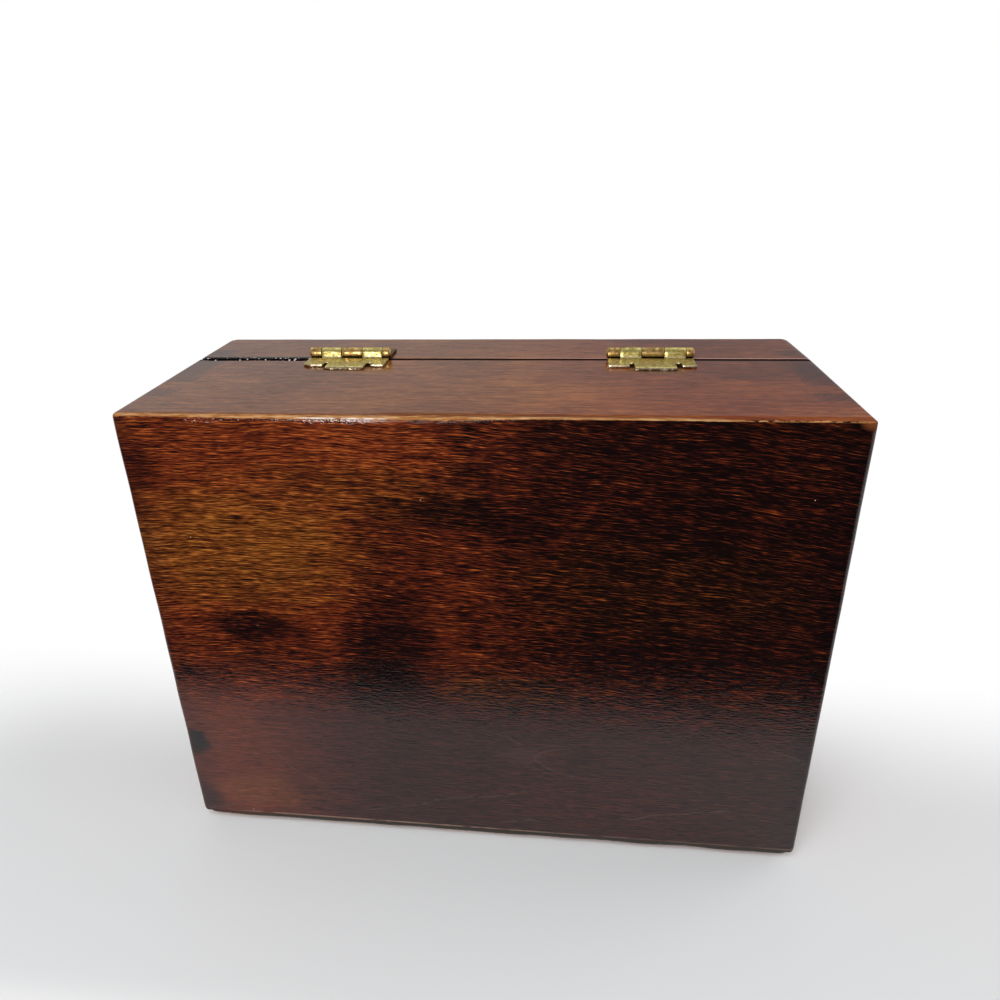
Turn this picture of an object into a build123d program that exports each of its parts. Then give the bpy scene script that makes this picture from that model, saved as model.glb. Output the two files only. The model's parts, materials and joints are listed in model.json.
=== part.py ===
from build123d import *

import os

# Wooden trinket box with a hinged lid.
# Four finger-jointed walls and a thin board make the base, four more walls and a board make the lid.
# Two stamped brass hinges sit on the outside of the back, their leaves held by prongs in the wood.
# +X is to the right seen from the front, +Y points out of the hinged back and +Z is up.
# The origin is the middle of the underside. All sizes are in millimetres.

# Outside of the closed box
length = 178.0
depth = 133.0
base_height = 51.0
lid_height = 24.4
seam_gap = 0.6

# Wood
wall = 8.5
bottom_board = 3.0
top_board = 3.0

# Finger joints: the long walls keep the outermost finger, the end walls come through as tails
edge_finger = 14.5
tail = 6.0
inner_finger = 6.5

# Rounding of the outside edges
front_corner_radius = 4.0
back_corner_radius = 1.5
lid_edge_radius = 4.5
lid_back_radius = 1.5
bottom_front_radius = 2.5
bottom_back_radius = 1.5
bottom_end_radius = 1.2
seam_radius = 0.5

# Hinges: sheet brass rolled round a pin. The pair sits a little to the left of the middle,
# and the barrels stand a little off the back.
hinge_spacing = 86.4
hinge_offset = -0.9
sheet = 0.8
pin_radius = 0.7
pin_clearance = 0.05
barrel_lift = 0.35
knuckle_widths = (3.5, 5.95, 6.2, 5.9, 2.1)
knuckle_gap = 0.12
roll_slit = 0.16
end_tab_reach = 9.2
centre_tab_reach = 11.2
left_tab = 5.8
left_notch = 1.3
right_tab = 3.8
right_notch = 1.65
notch_reach = 6.2
fold_radius = 0.5
prong_depth = 5.0
slot_clearance = 0.05
pin_head_radius = 1.2
pin_head = 0.4
edge_tolerance = 0.01

# Worked out from the sizes above
height = base_height + seam_gap + lid_height
lid_low = base_height + seam_gap
back = depth / 2
knuckle_radius = pin_radius + pin_clearance + sheet
bore_radius = pin_radius + pin_clearance
axis_y = back + barrel_lift + knuckle_radius
axis_z = base_height + seam_gap / 2
hinge_width = sum(knuckle_widths)
hinge_places = {
    "left": hinge_offset - hinge_spacing / 2,
    "right": hinge_offset + hinge_spacing / 2,
}
base_knuckles = (1, 3)
lid_knuckles = (0, 2, 4)

# Levels over which the end walls come through to the corners, and the long walls stop short
second_tail_low = edge_finger + tail + inner_finger
base_tails = ((edge_finger, edge_finger + tail), (second_tail_low, base_height))
base_fingers = ((bottom_board, edge_finger), (edge_finger + tail, second_tail_low))
lid_tail_high = height - edge_finger
lid_tail_low = lid_tail_high - tail
lid_tails = ((lid_tail_low, lid_tail_high),)
lid_fingers = ((lid_low, lid_tail_low), (lid_tail_high, height - top_board))

os.makedirs("parts", exist_ok=True)


def rounded_profile(width, low, high, corners):
    """A rectangle between two levels. corners holds (row, place, radius), row and place 0 or -1."""
    with BuildSketch() as profile:
        with Locations((0, (low + high) / 2)):
            Rectangle(width, high - low)
        for row, place, radius in corners:
            corner = profile.vertices().group_by(Axis.Y)[row].sort_by(Axis.X)[place]
            fillet(corner, radius)
    return profile.sketch


def outside(low, high, front_low, front_high, back_low, back_high, end_low, end_high):
    """The block that a base or lid fills, with its outside edges rounded."""
    with BuildPart() as block:
        with BuildSketch(Plane.XY.offset(low)) as plan:
            Rectangle(length, depth)
            fillet(plan.vertices().group_by(Axis.Y)[0], front_corner_radius)
            fillet(plan.vertices().group_by(Axis.Y)[-1], back_corner_radius)
        extrude(amount=high - low)
        side_corners = (
            (0, 0, front_low),
            (0, -1, back_low),
            (-1, 0, front_high),
            (-1, -1, back_high),
        )
        with BuildSketch(Plane.YZ):
            add(rounded_profile(depth, low, high, side_corners))
        extrude(amount=length, both=True, mode=Mode.INTERSECT)
        end_corners = ((0, 0, end_low), (0, -1, end_low), (-1, 0, end_high), (-1, -1, end_high))
        with BuildSketch(Plane.XZ):
            add(rounded_profile(length, low, high, end_corners))
        extrude(amount=depth, both=True, mode=Mode.INTERSECT)
    return block.part


def wall_outline(width, low, high, notches):
    """A wall seen from outside: a rectangle with a notch at both ends over each range of levels."""
    with Locations((0, (low + high) / 2)):
        Rectangle(width, high - low)
    for notch_low, notch_high in notches:
        level = (notch_low + notch_high) / 2
        with Locations(((width - wall) / 2, level), ((wall - width) / 2, level)):
            Rectangle(wall, notch_high - notch_low, mode=Mode.SUBTRACT)


def hinge_plane(place):
    """Lies on the back at a hinge's middle, level with its pin: x to the right seen from behind, y up."""
    return Plane(origin=(place, back, axis_z), x_dir=(-1, 0, 0), z_dir=(0, 1, 0))


def patch(left, right, near, far, mode=Mode.ADD):
    """A rectangle between two places and between two distances from the pin's line."""
    with Locations(((left + right) / 2, (near + far) / 2)):
        Rectangle(right - left, abs(far - near), mode=mode)


def knuckle_span(number):
    """Where one knuckle starts and ends along the hinge, seen from behind."""
    start = -hinge_width / 2 + sum(knuckle_widths[:number])
    trim = knuckle_gap / 2
    return start + trim, start + knuckle_widths[number] - trim


centre_tab_left = -hinge_width / 2 + left_tab + left_notch
centre_tab_right = hinge_width / 2 - right_tab - right_notch
prong_far = centre_tab_reach
prong_near = centre_tab_reach - sheet


def cut_prong_slots(up):
    """Slots in a back wall for the hinges' prongs. up is 1 for the lid and -1 for the base."""
    for place in hinge_places.values():
        with BuildSketch(hinge_plane(place)) as slot:
            patch(
                centre_tab_left - slot_clearance,
                centre_tab_right + slot_clearance,
                up * (prong_near - slot_clearance),
                up * (prong_far + slot_clearance),
            )
        extrude(slot.sketch, amount=-prong_depth - slot_clearance, mode=Mode.SUBTRACT)


def add_leaf(place, up, numbers):
    """A leaf with the knuckles in numbers. up is 1 for the lid's leaf and -1 for the base's."""
    left_end = -hinge_width / 2 + knuckle_gap / 2
    right_end = hinge_width / 2 - knuckle_gap / 2
    clear = knuckle_radius + knuckle_gap
    with BuildSketch(hinge_plane(place)) as plate:
        patch(left_end, right_end, up * clear, up * end_tab_reach)
        patch(centre_tab_left, centre_tab_right, up * notch_reach, up * centre_tab_reach)
        for number in numbers:
            start, end = knuckle_span(number)
            patch(start, end, 0, up * clear)
        for start, width in (
            (centre_tab_left - left_notch, left_notch),
            (centre_tab_right, right_notch),
        ):
            inner = notch_reach + width / 2
            patch(start, start + width, up * inner, up * end_tab_reach, mode=Mode.SUBTRACT)
            with Locations((start + width / 2, up * inner)):
                Circle(width / 2, mode=Mode.SUBTRACT)
    extrude(plate.sketch, amount=sheet)
    with BuildSketch(hinge_plane(place)) as prong:
        patch(centre_tab_left, centre_tab_right, up * prong_near, up * prong_far)
    extrude(prong.sketch, amount=-prong_depth)
    for number in numbers:
        start, end = knuckle_span(number)
        ring = Plane(origin=(place - start, axis_y, axis_z), x_dir=(0, 1, 0), z_dir=(1, 0, 0))
        with BuildSketch(ring) as knuckle:
            Circle(knuckle_radius)
            Circle(bore_radius, mode=Mode.SUBTRACT)
            with Locations((roll_slit / 2 - bore_radius, up * knuckle_radius)):
                Rectangle(roll_slit, knuckle_radius + bore_radius / 2, mode=Mode.SUBTRACT)
        extrude(knuckle.sketch, amount=start - end)


def fold_edge(leaf, up):
    """The outside edge along which a leaf's centre tab is folded into the wood."""
    outer = leaf.edges().filter_by(Axis.X)
    level = axis_z + up * centre_tab_reach
    at_level = outer.filter_by_position(Axis.Z, level - edge_tolerance, level + edge_tolerance)
    return at_level.sort_by(Axis.Y)[-1]


# Outsides of the base and the lid
base_outside = outside(
    0,
    base_height,
    bottom_front_radius,
    seam_radius,
    bottom_back_radius,
    seam_radius,
    bottom_end_radius,
    seam_radius,
)
lid_outside = outside(
    lid_low,
    height,
    seam_radius,
    lid_edge_radius,
    seam_radius,
    lid_back_radius,
    seam_radius,
    lid_edge_radius,
)

# What differs between the base's walls and the lid's
frames = (
    ("base", base_outside, bottom_board, base_height, base_tails, base_fingers, -1),
    ("lid", lid_outside, lid_low, height - top_board, lid_tails, lid_fingers, 1),
)

for frame, shell, low, high, tails, fingers, up in frames:
    # Front wall
    with BuildPart() as front_wall:
        with BuildSketch(Plane.XZ.offset(depth / 2)):
            wall_outline(length, low, high, tails)
        extrude(amount=-wall)
        add(shell, mode=Mode.INTERSECT)
    front_wall.part.label = f"{frame}_front_wall"
    export_step(front_wall.part, f"parts/{frame}_front_wall.step")

    # Back wall, with the slots for the hinges' prongs
    with BuildPart() as back_wall:
        with BuildSketch(Plane.XZ.offset(-depth / 2)):
            wall_outline(length, low, high, tails)
        extrude(amount=wall)
        add(shell, mode=Mode.INTERSECT)
        cut_prong_slots(up)
    back_wall.part.label = f"{frame}_back_wall"
    export_step(back_wall.part, f"parts/{frame}_back_wall.step")

    # End walls
    for side, sign in (("left", -1), ("right", 1)):
        with BuildPart() as end_wall:
            with BuildSketch(Plane.YZ.offset(sign * length / 2)):
                wall_outline(depth, low, high, fingers)
            extrude(amount=-sign * wall)
            add(shell, mode=Mode.INTERSECT)
        end_wall.part.label = f"{frame}_{side}_wall"
        export_step(end_wall.part, f"parts/{frame}_{side}_wall.step")

# Bottom board, glued under the base's walls
with BuildPart() as bottom:
    with BuildSketch():
        Rectangle(length, depth)
    extrude(amount=bottom_board)
    add(base_outside, mode=Mode.INTERSECT)
bottom.part.label = "bottom_board"
export_step(bottom.part, "parts/bottom_board.step")

# Top board, glued on the lid's walls
with BuildPart() as top:
    with BuildSketch(Plane.XY.offset(height - top_board)):
        Rectangle(length, depth)
    extrude(amount=top_board)
    add(lid_outside, mode=Mode.INTERSECT)
top.part.label = "lid_top_board"
export_step(top.part, "parts/lid_top_board.step")

# Hinges
for side, place in hinge_places.items():
    with BuildPart() as base_leaf:
        add_leaf(place, -1, base_knuckles)
        fillet(fold_edge(base_leaf, -1), fold_radius)
    base_leaf.part.label = f"{side}_hinge_base_leaf"
    export_step(base_leaf.part, f"parts/{side}_hinge_base_leaf.step")

    with BuildPart() as lid_leaf:
        add_leaf(place, 1, lid_knuckles)
        fillet(fold_edge(lid_leaf, 1), fold_radius)
    lid_leaf.part.label = f"{side}_hinge_lid_leaf"
    export_step(lid_leaf.part, f"parts/{side}_hinge_lid_leaf.step")

    # Pin, with both ends peened over the outer knuckles
    with BuildPart() as pin:
        middle = Plane(origin=(place, axis_y, axis_z), x_dir=(0, 1, 0), z_dir=(1, 0, 0))
        with BuildSketch(middle):
            Circle(pin_radius)
        extrude(amount=hinge_width / 2, both=True)
        for end in (-1, 1):
            with BuildSketch(middle.offset(end * hinge_width / 2)):
                Circle(pin_head_radius)
            extrude(amount=end * pin_head)
        rims = pin.edges().filter_by(GeomType.CIRCLE).sort_by(Axis.X)
        fillet((rims[0], rims[-1]), pin_head / 2)
    pin.part.label = f"{side}_hinge_pin"
    export_step(pin.part, f"parts/{side}_hinge_pin.step")

print("closed box", length, depth, height, "hinge axis y", axis_y, "z", axis_z)
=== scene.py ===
import json
import math
from functools import reduce

import bpy
import numpy as np
from mathutils import Matrix, Vector, noise


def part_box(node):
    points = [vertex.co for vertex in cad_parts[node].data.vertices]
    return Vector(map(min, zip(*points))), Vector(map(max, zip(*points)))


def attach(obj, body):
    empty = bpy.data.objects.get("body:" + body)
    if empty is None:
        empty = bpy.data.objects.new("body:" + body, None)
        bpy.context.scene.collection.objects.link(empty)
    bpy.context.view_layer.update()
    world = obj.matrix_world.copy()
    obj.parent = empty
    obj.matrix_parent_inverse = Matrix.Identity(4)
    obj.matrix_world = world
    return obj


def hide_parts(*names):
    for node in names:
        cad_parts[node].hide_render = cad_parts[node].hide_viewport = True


# The trinket box as the photograph shows it: lying on its front, seen from behind and below.
# The frame is the box's own: +X to its right, +Y out of its hinged back, +Z up.
# Blender's objects are in metres. Places and sizes written here, also in the materials, are in millimetres.

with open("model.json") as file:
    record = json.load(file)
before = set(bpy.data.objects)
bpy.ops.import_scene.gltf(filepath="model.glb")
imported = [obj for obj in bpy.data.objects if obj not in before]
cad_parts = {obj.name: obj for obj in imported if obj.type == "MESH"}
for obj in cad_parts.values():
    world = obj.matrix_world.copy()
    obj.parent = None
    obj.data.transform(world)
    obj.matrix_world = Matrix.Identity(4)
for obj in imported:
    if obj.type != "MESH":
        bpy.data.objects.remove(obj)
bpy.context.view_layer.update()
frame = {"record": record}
record = frame["record"]

MM = 0.001

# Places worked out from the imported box
base_low, base_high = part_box("base_back_wall")
board_low, board_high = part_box("bottom_board")
lid_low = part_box("lid_back_wall")[0]
top_low, top_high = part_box("lid_top_board")
BACK = board_high.y / MM
FRONT = board_low.y / MM
HALF_LENGTH = board_high.x / MM
HEIGHT = top_high.z / MM
BOARD = board_high.z / MM
TOP_BOARD_LOW = top_low.z / MM
SEAM_LOW = base_high.z / MM
SEAM_HIGH = lid_low.z / MM
WALL = (base_high.y - base_low.y) / MM
INSIDE_X = HALF_LENGTH - WALL
INSIDE_Y = BACK - WALL

# Levels between which the end walls come through to the corners
BASE_TAILS = ((14.5, 20.5), (27.0, SEAM_LOW))
LID_TAILS = ((55.5, 61.5),)

# The hinges: where they sit along the back, and their parts seen from behind, left to right
AXIS_Y = record["behaviour"]["joints"][0]["pos_m"][1] / MM
AXIS_Z = record["behaviour"]["joints"][0]["pos_m"][2] / MM
KNUCKLES = (3.5, 5.95, 6.2, 5.9, 2.1)
BASE_KNUCKLES = (1, 3)
LID_KNUCKLES = (0, 2, 4)
KNUCKLE_TRIM = 0.06
SHEET = 0.8
LEFT_TAB = 5.8
LEFT_NOTCH = 1.3
RIGHT_TAB = 3.8
RIGHT_NOTCH = 1.65
NOTCH_REACH = 6.2
TAB_REACH = 9.2
FOLD_REACH = 11.2
PRONG_DEPTH = 5.0
PRONG_ROOM = 0.05
HINGE_HALF = sum(KNUCKLES) / 2
CENTRE_LEFT = -HINGE_HALF + LEFT_TAB + LEFT_NOTCH
CENTRE_RIGHT = HINGE_HALF - RIGHT_TAB - RIGHT_NOTCH


def hinge_middle(side):
    low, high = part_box(f"{side}_hinge_base_leaf")
    return (low.x + high.x) / 2 / MM


HINGES = {side: hinge_middle(side) for side in ("left", "right")}


# Meshes

def new_piece(name, points, faces, body, replaced=None):
    """A mesh from points in millimetres, which rides on a body and stands for a CAD node."""
    mesh = bpy.data.meshes.new(name)
    mesh.from_pydata([tuple(float(v) * MM for v in point) for point in points], [], faces)
    mesh.validate()
    piece = bpy.data.objects.new(name, mesh)
    bpy.context.scene.collection.objects.link(piece)
    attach(piece, body)
    if replaced:
        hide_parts(replaced)
    return piece


def smooth(piece, angle):
    """Smooth shading, but sharp where two faces meet at more than the angle."""
    mesh = piece.data
    mesh.polygons.foreach_set("use_smooth", [True] * len(mesh.polygons))
    mesh.set_sharp_from_angle(angle=math.radians(angle))


def settle(piece):
    """Turns the piece's modifiers into its mesh."""
    bpy.context.view_layer.update()
    shaped = piece.evaluated_get(bpy.context.evaluated_depsgraph_get())
    mesh = bpy.data.meshes.new_from_object(shaped)
    piece.modifiers.clear()
    piece.data = mesh


def soft_step(value, low, high):
    share = np.clip((value - low) / (high - low), 0.0, 1.0)
    return share * share * (3.0 - 2.0 * share)


def noise_at(points, sizes):
    """Smooth noise from -1 to 1 at each point. sizes are those of its lumps along x, y and z."""
    return np.array([noise.noise(Vector(point)) for point in points / sizes])


# Distances from an outside edge at which the wood's mesh has a line, and how far apart its other lines are
EDGE_LINES = (0.0, 0.15, 0.35, 0.55, 0.8, 1.15, 1.5, 2.0, 2.5, 3.2, 4.0, 4.7, 5.6)
LINE_STEP = 4.5
FINE_STEP = 1.0
LEAST_STEP = 0.1


def mesh_lines(low, high, breaks, fine=()):
    """Where the mesh is cut along one axis. fine lists the stretches that are cut finely."""
    fixed = sorted(value for value in breaks if low < value < high)
    places = [low, high, *fixed]
    for offset in EDGE_LINES:
        for place in (low + offset, high - offset):
            if min(abs(place - other) for other in places) > LEAST_STEP:
                places.append(place)
    places.sort()
    lines = [places[0]]
    for place in places[1:]:
        middle = (lines[-1] + place) / 2
        is_fine = any(start < middle < end for start, end in fine)
        count = math.ceil((place - lines[-1]) / (FINE_STEP if is_fine else LINE_STEP) - 0.001)
        lines.extend(np.linspace(lines[-1], place, count + 1)[1:])
    return np.array(lines)


def cell_shell(lines, inside):
    """The surface of the filled cells of a grid: its points and its faces, seen from outside."""
    middles = [(line[1:] + line[:-1]) / 2 for line in lines]
    filled = np.pad(inside(*np.meshgrid(*middles, indexing="ij")), 1)
    counts = [len(line) for line in lines]
    faces = []
    for axis in range(3):
        b = (axis + 1) % 3
        c = (axis + 2) % 3
        turned = np.moveaxis(filled, (axis, b, c), (0, 1, 2)).astype(int)
        change = turned[:-1] - turned[1:]
        for sign in (1, -1):
            place = np.argwhere(change == sign)
            corners = []
            for step_b, step_c in ((-1, -1), (0, -1), (0, 0), (-1, 0))[::sign]:
                index = np.zeros((len(place), 3), int)
                index[:, axis] = place[:, 0]
                index[:, b] = place[:, 1] + step_b
                index[:, c] = place[:, 2] + step_c
                corners.append((index[:, 0] * counts[1] + index[:, 1]) * counts[2] + index[:, 2])
            faces.append(np.stack(corners, axis=1))
    faces = np.concatenate(faces)
    used, inverse = np.unique(faces, return_inverse=True)
    i, rest = np.divmod(used, counts[1] * counts[2])
    j, k = np.divmod(rest, counts[2])
    points = np.stack([lines[0][i], lines[1][j], lines[2][k]], axis=1)
    return points, inverse.reshape(faces.shape).tolist()


def round_corner(a, b, radius):
    """Rounds the square corner of a section. It takes and gives the depths a and b under its two faces."""
    u = radius - a
    v = radius - b
    rounded = (u > 0) & (v > 0)
    share = np.maximum(u, v) / np.where(rounded, np.hypot(u, v), 1.0)
    return np.where(rounded, radius - u * share, a), np.where(rounded, radius - v * share, b)


class Outside:
    """The outside of the base or the lid, with its edges rounded and a little worn.
    A back corner has one radius at the bottom and one at the top, and its arc grows between them.
    The radii of a level edge are those at the front, at the back and at the ends."""

    def __init__(self, low, high, left_corner, right_corner, low_radii, high_radii):
        self.low = low
        self.high = high
        self.left_corner = left_corner
        self.right_corner = right_corner
        self.low_radii = low_radii
        self.high_radii = high_radii

    def shape(self, points):
        x, y, z = points.T
        is_low = z < (self.low + self.high) / 2
        end = HALF_LENGTH - np.abs(x)
        side = BACK - np.abs(y)
        level = np.where(is_low, z - self.low, self.high - z)
        radii = zip(self.low_radii, self.high_radii)
        at_front, at_back, at_end = (np.where(is_low, *pair) for pair in radii)
        at_side = np.where(y < 0, at_front, at_back)
        if self.high == SEAM_LOW:
            at_side = at_side * np.where(is_low & (y > 0), arris_share(x), 1.0)
            at_side = at_side + np.where(is_low | (y < INSIDE_Y), 0.0, CRUST_DEPTH * crust_share(x))
        share = np.clip((z - self.low) / (self.high - self.low), 0.0, 1.0)
        at_left, at_right = (
            at_low + (at_high - at_low) * share for at_low, at_high in (self.left_corner, self.right_corner)
        )
        corner = np.where(y < 0, FRONT_CORNER, np.where(x < 0, at_left, at_right))
        near = (np.minimum(end, side) < EDGE_LINES[-1]) & (level < EDGE_LINES[-1])
        wear = np.ones(len(x))
        wear[near] += EDGE_WEAR * noise_at(points[near], WEAR_LUMPS)
        end, level = round_corner(end, level, at_end * wear)
        side, level = round_corner(side, level, at_side * wear)
        end, side = round_corner(end, side, corner)
        shaped = (
            np.sign(x) * (HALF_LENGTH - end),
            np.sign(y) * (BACK - side),
            np.where(is_low, self.low + level, self.high - level),
        )
        return np.stack(shaped, axis=1)


# The crust is a strip of the base's seam edge on the back that broke out and filled with dark varnish
CRUST_STRIP = (53.0, 57.0)
CRUST_END = (84.5, 88.0)
CRUST_PATCH = ((22.5, 24.5), (29.0, 31.0))
CRUST_DEPTH = 1.7
CRUST_PATCH_SHARE = 0.35


def crust_share(x):
    strip = soft_step(x, *CRUST_STRIP) * (1.0 - 0.8 * soft_step(x, *CRUST_END))
    patch = soft_step(x, *CRUST_PATCH[0]) * (1.0 - soft_step(x, *CRUST_PATCH[1]))
    return np.maximum(strip, CRUST_PATCH_SHARE * patch)


def arris_share(x):
    """How much of its full radius the bottom's edge at the back has: it is worn most right of the middle."""
    worn = soft_step(x, -20.0, 12.0) * (1.0 - 0.4 * soft_step(x, 50.0, 75.0))
    return 0.35 + 0.65 * worn


FRONT_CORNER = 4.0
FRONT_FOOT = 3.0
EDGE_WEAR = 0.3
WEAR_LUMPS = (13.0, 13.0, 40.0)
WOOD_SHARP = 40
BRASS_SHARP = 38
OUTSIDES = {
    "base": Outside(0.0, SEAM_LOW, (0.6, 2.4), (1.0, 0.6), (FRONT_FOOT, 1.5, 1.2), (0.5, 0.5, 0.5)),
    "lid": Outside(SEAM_HIGH, HEIGHT, (2.4, 4.0), (0.6, 0.6), (0.5, 0.9, 0.5), (4.5, 0.8, 4.5)),
}
TAILS = {"base": BASE_TAILS, "lid": LID_TAILS}
UP = {"base": -1, "lid": 1}


def on_tail(part, z):
    found = np.zeros(z.shape, bool)
    for low, high in TAILS[part]:
        found |= (z > low) & (z < high)
    return found


def slot_box(part, side):
    """The room for a hinge's prong in a back wall: its limits along x and z."""
    middle = HINGES[side]
    reaches = (FOLD_REACH - SHEET - PRONG_ROOM, FOLD_REACH + PRONG_ROOM)
    levels = sorted(AXIS_Z + UP[part] * reach for reach in reaches)
    return (middle - CENTRE_RIGHT - PRONG_ROOM, middle - CENTRE_LEFT + PRONG_ROOM), levels


def wood_piece(node, part, levels, inside):
    """One wooden piece with a mesh of its own. inside says which points of the block belong to it."""
    breaks_x = [-INSIDE_X, INSIDE_X]
    breaks_z = [BOARD, TOP_BOARD_LOW]
    for low, high in TAILS[part]:
        breaks_z.extend((low, high))
    fine = ()
    if node.endswith("back_wall"):
        for side in HINGES:
            span, heights = slot_box(part, side)
            breaks_x.extend(span)
            breaks_z.extend(heights)
        if part == "base":
            fine = ((CRUST_PATCH[0][0], CRUST_PATCH[1][1]), (CRUST_STRIP[0], INSIDE_X))
    outside = OUTSIDES[part]
    lines = (
        mesh_lines(-HALF_LENGTH, HALF_LENGTH, breaks_x, fine),
        mesh_lines(FRONT, BACK, (-INSIDE_Y, INSIDE_Y, BACK - PRONG_DEPTH - PRONG_ROOM)),
        mesh_lines(outside.low, outside.high, breaks_z),
    )
    low, high = levels
    points, faces = cell_shell(lines, lambda x, y, z: inside(x, y, z) & (z > low) & (z < high))
    points = outside.shape(points)
    piece = new_piece(f"{node}_wood", points, faces, part, node)
    smooth(piece, WOOD_SHARP)
    return piece


def long_wall(part, sign):
    def inside(x, y, z):
        body = (sign * y > INSIDE_Y) & ((np.abs(x) < INSIDE_X) | ~on_tail(part, z))
        if sign > 0:
            for side in HINGES:
                span, heights = slot_box(part, side)
                in_slot = (x > span[0]) & (x < span[1]) & (z > heights[0]) & (z < heights[1])
                body &= ~(in_slot & (y > BACK - PRONG_DEPTH - PRONG_ROOM))
        return body

    return inside


def end_wall(part, sign):
    def inside(x, y, z):
        return (sign * x > INSIDE_X) & ((np.abs(y) < INSIDE_Y) | on_tail(part, z))

    return inside


def board(x, y, z):
    return np.ones(x.shape, bool)


WALL_LEVELS = {"base": (BOARD, SEAM_LOW), "lid": (SEAM_HIGH, TOP_BOARD_LOW)}
WALLS = {"front": (long_wall, -1), "back": (long_wall, 1), "left": (end_wall, -1), "right": (end_wall, 1)}
wood = {
    "bottom_board": wood_piece("bottom_board", "base", (0.0, BOARD), board),
    "lid_top_board": wood_piece("lid_top_board", "lid", (TOP_BOARD_LOW, HEIGHT), board),
}
for part, levels in WALL_LEVELS.items():
    for name, (wall, sign) in WALLS.items():
        node = f"{part}_{name}_wall"
        wood[node] = wood_piece(node, part, levels, wall(part, sign))

# A low strip along the top of the base's walls, which fills most of the seam's gap. It stands in for the
# shade inside the closed box, so that no light shows through the seam.
LIP_DEPTHS = (1.2, 6.0)
LIP_LEVELS = (SEAM_LOW - 0.4, SEAM_HIGH - 0.1)


def lip_ring(x, y, z):
    return (np.abs(x) > HALF_LENGTH - LIP_DEPTHS[1]) | (np.abs(y) > BACK - LIP_DEPTHS[1])


lip_lines = [
    np.array([LIP_DEPTHS[0] - half, LIP_DEPTHS[1] - half, half - LIP_DEPTHS[1], half - LIP_DEPTHS[0]])
    for half in (HALF_LENGTH, BACK)
]
lip_points, lip_faces = cell_shell((*lip_lines, np.array(LIP_LEVELS)), lip_ring)
seam_shade_strip = new_piece("seam_shade_strip", lip_points, lip_faces, "base")

# A leaf's profile is the middle of its sheet: reach from the pin's line along the wood, and height over it
MIDDLE_HEIGHT = SHEET / 2
BARREL_MIDDLE = 1.15
BARREL_HEIGHT = AXIS_Y - BACK
BEND_RADIUS = 1.0
BEND_START = BARREL_MIDDLE + BEND_RADIUS
PLATE_STOP = 1.67
FOLD_RADIUS = 0.5
PRONG_REACH = FOLD_REACH - MIDDLE_HEIGHT
PLATE_REACHES = (5.3, 4.3, 3.2, BEND_START)
COLUMN_STEP = 1.3
ROLL_END = 258.0
FOLD_STEPS = 4
BEND_STEPS = 6
ROLL_STEPS = 22
BURR = 0.07
EDGE_BEVEL = 0.12


def arc(start, end, count):
    """Angles from start to end, in radians, without the first."""
    return [math.radians(start + (end - start) * step / count) for step in range(1, count + 1)]


def knuckle_span(number):
    start = -HINGE_HALF + sum(KNUCKLES[:number])
    return start + KNUCKLE_TRIM, start + KNUCKLES[number] - KNUCKLE_TRIM


def leaf_columns():
    """Places across the hinge at which a leaf's mesh has a line."""
    places = {-HINGE_HALF + KNUCKLE_TRIM, HINGE_HALF - KNUCKLE_TRIM, CUT_CORNER - HINGE_HALF}
    for number in range(len(KNUCKLES)):
        places.update(knuckle_span(number))
    for left, width in NOTCHES:
        for angle in (0, 30, 60, 90, 120, 150, 180):
            places.add(left + width / 2 - width / 2 * math.cos(math.radians(angle)))
    places = sorted(round(place, 4) for place in places)
    columns = [places[0]]
    for place in places[1:]:
        count = math.ceil((place - columns[-1]) / COLUMN_STEP)
        columns.extend(float(v) for v in np.linspace(columns[-1], place, count + 1)[1:])
    return columns


NOTCHES = ((CENTRE_LEFT - LEFT_NOTCH, LEFT_NOTCH), (CENTRE_RIGHT, RIGHT_NOTCH))
CUT_CORNER = 1.8
CUT_DEPTH = 1.0


def notch_edge(across):
    """Where the notches end, as a reach from the pin's line. Between them it runs level with their sides."""
    for left, width in NOTCHES:
        if left < across < left + width:
            from_middle = across - left - width / 2
            return NOTCH_REACH + width / 2 - math.sqrt((width / 2) ** 2 - from_middle**2)
    left_level = NOTCH_REACH + LEFT_NOTCH / 2
    right_level = NOTCH_REACH + RIGHT_NOTCH / 2
    share = min(max((across - CENTRE_LEFT) / (CENTRE_RIGHT - CENTRE_LEFT), 0.0), 1.0)
    return left_level + (right_level - left_level) * share


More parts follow.
